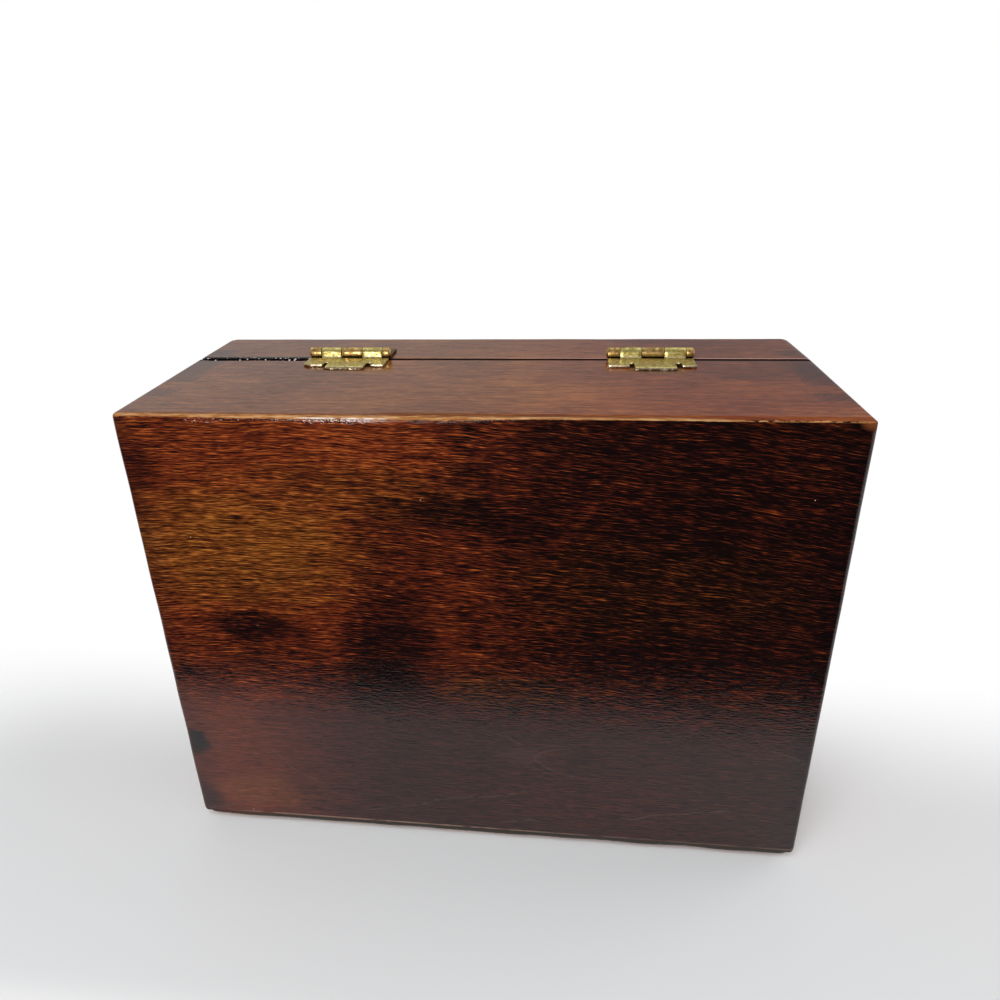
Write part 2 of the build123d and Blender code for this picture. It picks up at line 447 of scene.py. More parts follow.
def leaf(side, part, knuckles, corner_cut):
    """A leaf of sheet brass: prong, tabs, plate and rolled knuckles, as one bent sheet."""
    up = UP[part]
    place = HINGES[side]
    columns = leaf_columns()
    rows = []

    def add_row(kind, reach, height=MIDDLE_HEIGHT):
        """A row of points along the leaf. reach is a number, or a function of the place across it."""
        reaches = [reach(across) for across in columns] if callable(reach) else [reach] * len(columns)
        rows.append((kind, reaches, height))

    def tab_end(across):
        cut = max(0.0, 1.0 - (across + HINGE_HALF) / CUT_CORNER) * CUT_DEPTH if corner_cut else 0.0
        burr = BURR * noise.noise(Vector((across * 0.9, place, up)))
        return TAB_REACH - cut + burr

    for height in (-PRONG_DEPTH, -PRONG_DEPTH / 2, MIDDLE_HEIGHT - FOLD_RADIUS):
        add_row("centre", PRONG_REACH, height)
    for angle in arc(0, 90, FOLD_STEPS):
        reach = PRONG_REACH - FOLD_RADIUS + FOLD_RADIUS * math.cos(angle)
        add_row("centre", reach, MIDDLE_HEIGHT - FOLD_RADIUS + FOLD_RADIUS * math.sin(angle))
    add_row("tabs", tab_end)
    add_row("tabs", lambda across: (tab_end(across) + notch_edge(across)) / 2)
    add_row("plate", notch_edge)
    for reach in PLATE_REACHES:
        add_row("plate", reach)
    main_rows = len(rows)
    add_row("stop", PLATE_STOP)
    for angle in arc(0, 90, BEND_STEPS):
        reach = BEND_START - BEND_RADIUS * math.sin(angle)
        add_row("knuckle", reach, MIDDLE_HEIGHT + BEND_RADIUS * (1.0 - math.cos(angle)))
    add_row("knuckle", BARREL_MIDDLE, BARREL_HEIGHT)
    for angle in arc(0, ROLL_END, ROLL_STEPS):
        reach = BARREL_MIDDLE * math.cos(angle)
        add_row("knuckle", reach, BARREL_HEIGHT + BARREL_MIDDLE * math.sin(angle))

    points = []
    for kind, reaches, height in rows:
        for across, reach in zip(columns, reaches):
            points.append((place - across, BACK + height, AXIS_Z + up * reach))

    def has(kind, middle):
        in_centre = CENTRE_LEFT < middle < CENTRE_RIGHT
        in_notch = any(left < middle < left + width for left, width in NOTCHES)
        in_knuckle = any(knuckle_span(n)[0] < middle < knuckle_span(n)[1] for n in knuckles)
        return {
            "centre": in_centre,
            "tabs": not in_notch,
            "plate": True,
            "stop": not in_knuckle,
            "knuckle": in_knuckle,
        }[kind]

    faces = []
    width = len(columns)
    for row in range(1, len(rows)):
        before = row - 1
        kind = rows[row][0]
        if rows[before][0] in ("centre", "tabs"):
            kind_before = rows[before][0]
        else:
            kind_before = kind
        if kind == "knuckle" and rows[before][0] == "stop":
            before = main_rows - 1
        for column in range(width - 1):
            middle = (columns[column] + columns[column + 1]) / 2
            if not (has(kind, middle) and has(kind_before, middle)):
                continue
            a = before * width + column
            b = row * width + column
            face = (a, a + 1, b + 1, b)
            faces.append(face if up < 0 else face[::-1])
    used = sorted({index for face in faces for index in face})
    renamed = {index: number for number, index in enumerate(used)}
    points = [points[index] for index in used]
    faces = [tuple(renamed[index] for index in face) for face in faces]

    node = f"{side}_hinge_{part}_leaf"
    piece = new_piece(f"{node}_sheet", points, faces, part, node)
    thick = piece.modifiers.new("thickness", "SOLIDIFY")
    thick.thickness = SHEET * MM
    thick.offset = 0.0
    thick.use_even_offset = True
    bevel = piece.modifiers.new("edges", "BEVEL")
    bevel.width = EDGE_BEVEL * MM
    bevel.segments = 2
    bevel.limit_method = "ANGLE"
    bevel.angle_limit = math.radians(50)
    settle(piece)
    smooth(piece, BRASS_SHARP)
    return piece


PIN_RADIUS = 0.7
HEAD_RADIUS = 1.2
HEAD = 0.4
PIN_SIDES = 32


def pin(side):
    """A pin whose two ends are hammered into low domes."""
    head = []
    for angle in (0, 18, 36, 54, 72, 90):
        turn = math.radians(angle)
        head.append((HINGE_HALF + HEAD * math.cos(turn), HEAD_RADIUS * math.sin(turn)))
    profile = head + [(HINGE_HALF, PIN_RADIUS), (0.0, PIN_RADIUS), (-HINGE_HALF, PIN_RADIUS)]
    profile += [(-x, radius) for x, radius in reversed(head)]
    points = []
    for x, radius in profile:
        for number in range(PIN_SIDES):
            turn = 2 * math.pi * number / PIN_SIDES
            y = AXIS_Y + radius * math.cos(turn)
            z = AXIS_Z + radius * math.sin(turn)
            points.append((HINGES[side] + x, y, z))
    faces = []
    for ring in range(len(profile) - 1):
        for number in range(PIN_SIDES):
            following = (number + 1) % PIN_SIDES
            a = ring * PIN_SIDES
            b = a + PIN_SIDES
            faces.append((a + number, b + number, b + following, a + following))
    node = f"{side}_hinge_pin"
    piece = new_piece(f"{node}_turned", points, faces, "base", node)
    weld = piece.modifiers.new("poles", "WELD")
    weld.merge_threshold = 0.01 * MM
    settle(piece)
    smooth(piece, BRASS_SHARP)
    return piece


brass = {}
for side in HINGES:
    brass[f"{side}_base"] = leaf(side, "base", BASE_KNUCKLES, side == "right")
    brass[f"{side}_lid"] = leaf(side, "lid", LID_KNUCKLES, False)
    brass[f"{side}_pin"] = pin(side)


# Materials

class Nodes:
    """Short ways to build a node tree. Values may be numbers, tuples or other nodes' sockets."""

    def __init__(self, tree):
        self.tree = tree
        for node in list(tree.nodes):
            tree.nodes.remove(node)

    def add(self, kind, inputs=(), **settings):
        node = self.tree.nodes.new(kind)
        for name, value in settings.items():
            setattr(node, name, value)
        for key, value in dict(inputs).items():
            self.put(node.inputs[key], value)
        return node

    def put(self, socket, value):
        if isinstance(value, bpy.types.NodeSocket):
            self.tree.links.new(value, socket)
        else:
            socket.default_value = value

    def math(self, operation, a, b=0.0):
        return self.add("ShaderNodeMath", {0: a, 1: b}, operation=operation).outputs[0]

    def plus(self, *values):
        return reduce(lambda a, b: self.math("ADD", a, b), values)

    def minus(self, a, b):
        return self.math("SUBTRACT", a, b)

    def times(self, *values):
        return reduce(lambda a, b: self.math("MULTIPLY", a, b), values)

    def over(self, a, b):
        return self.math("DIVIDE", a, b)

    def most(self, *values):
        return reduce(lambda a, b: self.math("MAXIMUM", a, b), values)

    def size(self, a):
        return self.math("ABSOLUTE", a)

    def step(self, value, low, high, to_low=0.0, to_high=1.0):
        """A smooth step from to_low to to_high as value goes from low to high."""
        node = self.add(
            "ShaderNodeMapRange",
            {"Value": value, "From Min": low, "From Max": high, "To Min": to_low, "To Max": to_high},
            interpolation_type="SMOOTHSTEP",
        )
        return node.outputs["Result"]

    def band(self, value, middle, half_width, soft):
        """1 where value is within half_width of middle, falling to 0 over soft."""
        return self.step(self.size(self.minus(value, middle)), half_width + soft, half_width)

    def ramp(self, value, stops):
        """Colours along a value from 0 to 1. stops holds (place, colour)."""
        node = self.add("ShaderNodeValToRGB", {"Fac": value})
        elements = node.color_ramp.elements
        while len(elements) < len(stops):
            elements.new(1.0)
        for element, (place, colour) in zip(elements, stops):
            element.position = place
            element.color = (*colour, 1.0)
        return node.outputs["Color"]

    def mix(self, factor, a, b, blend="MIX"):
        node = self.add("ShaderNodeMix", data_type="RGBA", blend_type=blend)
        self.put(node.inputs[0], factor)
        for socket, value in ((node.inputs[6], a), (node.inputs[7], b)):
            self.put(socket, (*value, 1.0) if isinstance(value, tuple) else value)
        return node.outputs[2]

    def join(self, x, y, z):
        return self.add("ShaderNodeCombineXYZ", {0: x, 1: y, 2: z}).outputs[0]

    def noise(self, place, sizes, detail=2.0, rough=0.5):
        """Noise from 0 to 1 at a place. sizes are those of its lumps along the three axes."""
        scaled = self.join(*(self.over(value, size) for value, size in zip(place, sizes)))
        settings = {"Vector": scaled, "Scale": 1.0, "Detail": detail, "Roughness": rough}
        return self.add("ShaderNodeTexNoise", settings).outputs[0]

    def swing(self, place, sizes, amount, detail=2.0, rough=0.5):
        """Noise about 0, up to amount or so each way."""
        return self.times(self.minus(self.noise(place, sizes, detail, rough), 0.5), 2.0 * amount)

    def bump(self, height, strength=1.0, distance=MM):
        """The normal over bumps. distance is how many metres a height of 1 stands for."""
        settings = {"Height": height, "Strength": strength, "Distance": distance}
        return self.add("ShaderNodeBump", settings).outputs[0]

    def place(self):
        """The point's coordinates in the box's frame at rest, in millimetres, and its normal."""
        texture = self.add("ShaderNodeTexCoord")
        scaled = self.add(
            "ShaderNodeVectorMath", {0: texture.outputs["Object"], "Scale": 1 / MM}, operation="SCALE"
        )
        point = self.add("ShaderNodeSeparateXYZ", {0: scaled.outputs[0]}).outputs
        normal = self.add("ShaderNodeSeparateXYZ", {0: texture.outputs["Normal"]}).outputs
        return point, normal

    def spot(self, x, y, middle, radii):
        """1 in the middle of a soft ellipse and 0 outside it."""
        square = 0.0
        for value, centre, radius in zip((x, y), middle, radii):
            square = self.plus(square, self.math("POWER", self.over(self.minus(value, centre), radius), 2.0))
        return self.step(square, 1.0, 0.0)


def new_material(name):
    material = bpy.data.materials.new(name)
    material.use_nodes = True
    return material, Nodes(material.node_tree)


def surface(tree, **inputs):
    """A Principled shader as the material's surface."""
    shader = tree.add("ShaderNodeBsdfPrincipled", inputs)
    output = tree.add("ShaderNodeOutputMaterial")
    tree.put(output.inputs["Surface"], shader.outputs[0])


# The stain's colours from its darkest to its lightest, where it is red and where it is amber
RED_STAIN = (
    (0.0, (0.0045, 0.0017, 0.0018)),
    (0.2, (0.0155, 0.0034, 0.0026)),
    (0.4, (0.050, 0.0080, 0.0036)),
    (0.6, (0.110, 0.0170, 0.0048)),
    (0.8, (0.215, 0.0400, 0.0085)),
    (1.0, (0.400, 0.1000, 0.0200)),
)
AMBER_STAIN = (
    (0.0, (0.0045, 0.0022, 0.0014)),
    (0.2, (0.0150, 0.0052, 0.0022)),
    (0.4, (0.046, 0.0125, 0.0032)),
    (0.6, (0.105, 0.0270, 0.0048)),
    (0.8, (0.210, 0.0620, 0.0090)),
    (1.0, (0.390, 0.1400, 0.0240)),
)
SEAM_BLACK = (0.004, 0.0025, 0.0025)
VARNISH_COAT = 0.97
VARNISH_ROUGHNESS = 0.10
VARNISH_IOR = 1.5
PORE_DEPTH = 0.50


def inside_share(tree, point):
    """1 on the faces inside the box, which have no varnish."""
    x, y, z = point
    share = tree.times(
        tree.step(tree.size(x), INSIDE_X + 0.4, INSIDE_X + 0.1),
        tree.step(tree.size(y), INSIDE_Y + 0.4, INSIDE_Y + 0.1),
    )
    levels = tree.times(
        tree.step(z, BOARD - 0.4, BOARD - 0.1), tree.step(z, TOP_BOARD_LOW + 0.4, TOP_BOARD_LOW + 0.1)
    )
    return tree.times(share, levels)


def varnished(tree, point, colour, worn, fine, bump):
    """Wood under varnish, which is missing inside the box and where worn is 1, and thinner in the pores."""
    bare = tree.most(inside_share(tree, point), worn)
    covered = tree.math("MINIMUM", tree.plus(VARNISH_COAT, tree.times(fine, PORE_DEPTH)), 1.0)
    surface(
        tree,
        **{
            "Base Color": colour,
            "Roughness": 0.5,
            "Specular IOR Level": 0.02,
            "Coat Weight": tree.times(covered, tree.minus(1.0, bare)),
            "Coat Roughness": VARNISH_ROUGHNESS,
            "Coat IOR": VARNISH_IOR,
            "Normal": bump,
            "Coat Normal": bump,
        },
    )


def grain_lines(tree, along, across, seed):
    """Grain about 0: fine streaks a few tenths of a millimetre wide, and longer broad ones."""
    wander = tree.swing((along, across, seed), (26.0, 11.0, 1.0), 1.6)
    small = tree.swing((along, across, seed + 2.0), (4.5, 3.2, 1.0), 0.16)
    bent = tree.plus(across, wander, small)

    def streaks(length, width, amount, detail):
        shifted = tree.plus(tree.over(along, length), seed)
        return tree.swing((shifted, bent, 0.0), (1.0, width, 1.0), amount, detail, 0.6)

    fine = tree.plus(streaks(3.2, 0.19, 0.9, 1.0), streaks(10.0, 0.34, 0.9, 2.0))
    return fine, streaks(19.0, 1.7, 1.0, 2.0)


# Light and dark places of the underside's colour: partly the stain's mottling, partly a painted pool of
# light with painted shadow and painted reflection. Each has a middle, radii and how much lighter.
# x grows towards the box's right, which is the photograph's left. y grows towards the hinged back.
STAIN_AND_LIGHT_PLACES = (
    ((66, 34), (44, 18), 0.07),
    ((20, 60), (34, 10), 0.11),
    ((22, 30), (11, 20), -0.15),
    ((25, 4), (16, 21), -0.34),
    ((6, 42), (17, 7), -0.24),
    ((-10, 38), (10, 8), -0.20),
    ((2, 20), (12, 13), 0.06),
    ((2, -7), (18, 9), 0.02),
    ((62, 6), (14, 6), -0.34),
    ((56, -2), (52, 15), -0.15),
    ((30, -12), (22, 10), -0.20),
    ((68, -55), (17, 9), 0.08),
    ((89, -60), (8, 14), -0.22),
    ((89, 50), (9, 14), -0.20),
    ((-50, 2), (44, 8), -0.08),
    ((-48, 22), (40, 7), 0.04),
    ((-60, 38), (34, 9), -0.05),
    ((-30, -50), (40, 16), 0.04),
    ((80, -12), (13, 8), -0.16),
    ((86, -36), (4.5, 5.5), -0.5),
)
# Amber places of the underside: partly the stain's colour, partly painted light where it falls strongest
AMBER_PLACES = (
    ((62, 30), (44, 24), 0.9),
    ((34, 46), (46, 12), 0.5),
    ((-4, -12), (26, 9), 0.6),
    ((-46, 22), (50, 20), 0.45),
    ((66, -54), (18, 10), 0.7),
)
# The tip of a growth ring's tongue, which opens towards the photograph's right
RING_TIP = (-14.5, -35.0)
RING_SPREAD = 2.6
# Thin lines of the growth rings: where each starts and ends, and how far its middle bows towards the back
RING_LINES = (
    ((41, -60.5), (-18, -46.5), 0.6),
    ((-35, -57.5), (-75, -50.2), 1.4),
    ((89, -63.5), (64, -58.0), 0.8),
    ((66, -34.0), (47, -50.0), -2.5),
    ((2, -25.0), (-14, -32.0), 1.2),
    ((-2, -61.0), (-16, -58.5), 0.4),
    ((-77, -27.0), (-88, -31.5), 0.8),
)


def underside_stain_and_light(tree, x, y, fine, broad):
    """How light the underside's colour is, and how amber: the stain's mottling with painted light and shade,
    lighter towards the box's right.
    """
    stray_x = tree.swing((x, y, 3.0), (12.0, 7.0, 1.0), 9.0, 4.0)
    stray_y = tree.swing((x, y, 8.0), (12.0, 7.0, 1.0), 5.0, 4.0)
    blot_x = tree.plus(x, stray_x, tree.times(fine, 4.0))
    blot_y = tree.plus(y, stray_y, tree.times(broad, 2.5))
    upper = tree.step(blot_x, -46.0, 44.0, 0.10, 0.58)
    lower = tree.step(blot_x, 24.0, 78.0, 0.27, 0.54)
    share = tree.step(blot_y, 0.0, -22.0)
    light = tree.plus(tree.times(upper, tree.minus(1.0, share)), tree.times(lower, share))
    for middle, radii, amount in STAIN_AND_LIGHT_PLACES:
        light = tree.plus(light, tree.times(tree.spot(blot_x, blot_y, middle, radii), amount))
    amber = 0.0
    for middle, radii, amount in AMBER_PLACES:
        amber = tree.most(amber, tree.times(tree.spot(blot_x, blot_y, middle, radii), amount))
    patches = tree.swing((x, y, 5.0), (8.0, 2.4, 1.0), 0.45, 3.0)
    return light, tree.plus(amber, patches)


def ring_lines(tree, x, y):
    """Thin lines of the growth rings, which show in the front half of the underside."""
    sway = tree.swing((x, y, 4.0), (9.0, 6.0, 1.0), 1.6)
    swayed = tree.plus(y, sway)
    lines = 0.0
    for (start_x, start_y), (end_x, end_y), bow in RING_LINES:
        share = tree.over(tree.minus(x, start_x), end_x - start_x)
        chord = tree.plus(start_y, tree.times(share, end_y - start_y))
        bowed = tree.plus(chord, tree.times(share, tree.minus(1.0, share), 4.0 * bow))
        line = tree.band(tree.minus(swayed, bowed), 0.0, 0.08, 0.40)
        ends = tree.times(tree.step(share, 0.0, 0.15), tree.step(share, 1.0, 0.85))
        lines = tree.most(lines, tree.times(line, ends))
    breaks = tree.noise((x, y, 7.0), (3.5, 3.5, 1.0), 3.0)
    lines = tree.times(lines, tree.step(breaks, 0.36, 0.58, 0.15, 1.0))
    from_tip = tree.minus(swayed, RING_TIP[1])
    tongue = tree.plus(tree.minus(x, RING_TIP[0]), tree.over(tree.times(from_tip, from_tip), RING_SPREAD))
    near = tree.spot(x, y, (RING_TIP[0] - 7.0, RING_TIP[1]), (16.0, 10.0))
    bright = tree.spot(x, y, (RING_TIP[0] + 4.0, RING_TIP[1] + 1.0), (9.0, 4.0))
    tips = tree.most(tree.band(tongue, 0.0, 0.3, 0.7), tree.times(tree.band(tongue, 5.0, 0.3, 0.8), 0.6))
    return lines, tree.most(tree.times(tips, near), tree.times(bright, 0.5))


def specks(tree, x, y, spacing, radius, seed):
    """Tiny pale specks: dust in the varnish on the underside, and painted glints along the crust on the
    walls.
    """
    node = tree.add(
        "ShaderNodeTexVoronoi",
        {"Vector": tree.join(tree.over(x, spacing), tree.over(y, spacing), seed), "Scale": 1.0},
    )
    return tree.step(node.outputs["Distance"], radius / spacing, 0.4 * radius / spacing)


def wall_stain(tree, x, y, z, fine, broad, darker):
    """The plain red-brown stain of the walls and top, duller towards the box's left and near the seam."""
    cloud = tree.swing((x, y, z), (34.0, 34.0, 20.0), 0.20)
    light = tree.plus(0.76, tree.times(fine, 0.40), tree.times(broad, 0.24))
    light = tree.plus(light, tree.times(tree.band(x, -21.0, 10.0, 16.0), 0.04))
    light = tree.minus(light, tree.step(x, 40.0, 56.0, 0.0, 0.04))
    at_left = tree.step(x, -20.0, -60.0)
    near_seam = tree.times(tree.step(z, 22.0, 44.0), tree.step(z, SEAM_HIGH + 1.0, SEAM_HIGH, 0.6, 1.0))
    light = tree.minus(light, tree.times(near_seam, tree.plus(0.02, tree.times(at_left, 0.14))))
    light = tree.minus(tree.plus(light, cloud), darker)
    amber = tree.plus(tree.step(x, -60.0, 20.0, 0.15, 0.95), tree.times(cloud, 1.5))
    return tree.mix(amber, tree.ramp(light, RED_STAIN), tree.ramp(light, AMBER_STAIN))


def underside_material():
    """The bottom board: mottled stain with painted light and shade, fine grain, rippled varnish, painted
    glints, painted shade at its foot, and a back edge worn to golden wood.
    """
    material, tree = new_material("underside_wood")
    point, normal = tree.place()
    x, y, z = point
    ny = normal[1]
    nz = normal[2]

    # The grain falls away towards the photograph's right in the back half
    fall = tree.plus(tree.times(x, 0.07), tree.times(x, x, -0.0005))
    grain_y = tree.minus(tree.plus(y, z), tree.times(fall, tree.step(y, -35.0, 30.0)))
    fine, broad = grain_lines(tree, x, grain_y, 1.3)
    light, amber = underside_stain_and_light(tree, x, y, fine, broad)
    contrast = tree.times(tree.step(x, 50.0, -40.0, 1.0, 1.2), tree.step(y, -26.0, -8.0, 0.3, 1.0))
    grain = tree.plus(tree.times(fine, 0.95), tree.times(broad, 0.32))
    light = tree.plus(tree.minus(light, 0.05), tree.times(grain, contrast))
    stain = tree.mix(amber, tree.ramp(light, RED_STAIN), tree.ramp(light, AMBER_STAIN))
    lines, tips = ring_lines(tree, x, y)
    stain = tree.mix(tree.times(lines, 0.38), stain, (0.075, 0.042, 0.030))
    stain = tree.mix(tree.times(tips, 0.32), stain, (0.085, 0.042, 0.026))
    edge = tree.step(tree.size(x), 79.0, 88.0, 0.0, 0.55)
    stain = tree.mix(edge, stain, (0.50, 0.62, 0.95), "MULTIPLY")
    stain = tree.mix(specks(tree, x, y, 11.0, 0.16, 3.0), stain, (0.62, 0.50, 0.42))
    upright = tree.step(tree.size(nz), 0.45, 0.15)
    colour = tree.mix(upright, stain, wall_stain(tree, x, y, z, fine, broad, 0.0))

    # Bare golden wood along the edge towards the back: brown at its top, palest on the edge itself
    streak = tree.noise((x, z, y), (5.0, 0.5, 0.4), 5.0, 0.65)
    streak = tree.plus(streak, tree.swing((x, 2.0, 5.0), (13.0, 1.0, 1.0), 0.10))
    tone = tree.plus(streak, tree.step(z, 2.0, 0.3, -0.18, 0.09))
    golden = tree.ramp(
        tree.minus(tone, tree.step(ny, 0.75, 0.4, 0.0, 0.12)),
        (
            (0.28, (0.10, 0.030, 0.011)),
            (0.46, (0.25, 0.092, 0.028)),
            (0.60, (0.40, 0.195, 0.070)),
            (0.76, (0.56, 0.345, 0.190)),
        ),
    )
    rub = tree.swing(point, (1.8, 0.6, 0.8), 0.26, 4.0)
    top = tree.step(x, -64.0, -48.0, 0.5, 2.5)
    high = tree.over(tree.plus(z, tree.times(rub, 4.0)), top)
    worn = tree.times(tree.step(tree.plus(ny, rub), 0.33, 0.45), tree.step(high, 1.0, 0.35))
    worn = tree.times(worn, tree.step(z, 2.9, 2.4), tree.step(y, 62.0, 64.5))
    colour = tree.mix(worn, colour, golden)

    orange = tree.times(tree.spot(x, y, (-88.5, 66.5), (4.0, 2.6)), 0.6)
    colour = tree.mix(orange, colour, (0.24, 0.070, 0.022))

    # Painted glints along that edge: a broken white line, with white specks below it, where the varnish is
    # left off
    painted_glints = tree.step(tree.noise((x, y, 2.0), (0.8, 0.35, 1.0)), 0.58, 0.66)
    dense = tree.band(x, 33.0, 5.0, 5.0)
    sparse = tree.times(tree.band(x, 66.0, 2.0, 3.0), 0.8)
    painted_glints = tree.times(painted_glints, tree.band(y, 65.1, 0.3, 0.4), tree.most(dense, sparse))
    broken = tree.step(tree.noise((x, y, 6.0), (3.0, 0.8, 1.0), 3.0), 0.40, 0.56)
    line = tree.times(tree.band(y, 65.85, 0.05, 0.18), tree.band(x, 31.0, 6.0, 8.0), broken)
    painted_glints = tree.times(tree.most(painted_glints, line), tree.step(nz, -0.2, -0.4))
    colour = tree.mix(tree.times(painted_glints, 0.9), colour, (0.74, 0.69, 0.63))

    # The rounding that the box lies on: a thin pale line where it starts, partly wear and partly a painted
    # highlight, and painted shade below it
    foot = FRONT + FRONT_FOOT
    painted_foot_shade = tree.times(tree.step(y, foot + 0.2, foot - 0.2), tree.step(z, 1.6, 0.9))
    pale = tree.times(tree.band(y, foot + 0.45, 0.10, 0.25), tree.step(x, 80.0, 66.0))
    pale = tree.times(pale, tree.step(tree.noise((x, 0.0, 4.0), (9.0, 1.0, 1.0), 3.0), 0.34, 0.55))
    colour = tree.mix(tree.times(pale, tree.step(x, -50.0, 20.0, 0.2, 0.6)), colour, (0.30, 0.19, 0.13))
    colour = tree.mix(tree.times(painted_foot_shade, tree.step(x, 98.0, 60.0)), colour, (0.034, 0.029, 0.023))
    inside = inside_share(tree, point)
    colour = tree.mix(inside, colour, tree.ramp(tree.plus(0.50, tree.times(fine, 0.2)), AMBER_STAIN))

    ripple = tree.noise((x, grain_y, 0.0), (1.7, 0.6, 1.0), 1.5)
    lumps = tree.noise(point, (0.7, 0.5, 0.5))
    near_edge = tree.times(tree.step(y, 63.5, 64.8), tree.step(z, 1.4, 0.6))
    height = tree.plus(tree.times(ripple, 0.065), tree.times(lumps, near_edge, 0.08))
    matt = tree.times(tree.step(y, 64.0, 64.8), tree.step(x, 28.0, 18.0))
    matt = tree.most(tree.times(tree.most(worn, painted_foot_shade), 0.8), tree.times(matt, 0.85), painted_glints)
    varnished(tree, point, colour, matt, fine, tree.bump(height))
    return material


def joint_lines(tree, point, normal):
    """Thin dark outlines of the finger joints on the back, the front and the ends."""
    x, y, z = point
    shown = 0.0
    for across, facing, limit in ((x, normal[1], INSIDE_X), (y, normal[0], INSIDE_Y)):
        across = tree.size(across)
        beyond = tree.step(across, limit - 0.1, limit + 0.1)
        upright = 0.0
        level = 0.0
        for low, high in (*BASE_TAILS, *LID_TAILS):
            level = tree.most(level, tree.band(z, low, 0.06, 0.22), tree.band(z, high, 0.06, 0.22))
            upright = tree.most(upright, tree.band(z, (low + high) / 2, (high - low) / 2, 0.2))
        upright = tree.times(upright, tree.band(across, limit, 0.06, 0.22))
        line = tree.most(upright, tree.times(level, beyond))
        shown = tree.most(shown, tree.times(line, tree.step(tree.size(facing), 0.5, 0.7)))
    return shown


def crust_mask(tree, point):
    """Where the seam's edges are broken and black on the back."""
    x, y, z = point
    ragged = tree.swing(point, (1.8, 1.8, 1.0), 0.9, 3.0)
    low = tree.plus(SEAM_LOW - 2.0, ragged)
    strip = tree.step(x, *CRUST_STRIP)
    patch = tree.times(tree.step(x, *CRUST_PATCH[0]), tree.step(x, CRUST_PATCH[1][1], CRUST_PATCH[1][0]))
    below = tree.step(tree.minus(z, low), -0.2, 0.3)
    narrow = tree.step(tree.minus(z, low), 0.9, 1.3)
    above = tree.step(tree.plus(z, tree.times(ragged, 0.5)), SEAM_HIGH + 2.1, SEAM_HIGH + 1.5)
    patch = tree.times(patch, narrow, tree.step(z, SEAM_HIGH, SEAM_LOW))
    mask = tree.most(tree.times(strip, below, above), patch)
    return tree.times(mask, tree.step(y, INSIDE_Y, INSIDE_Y + 1.0))


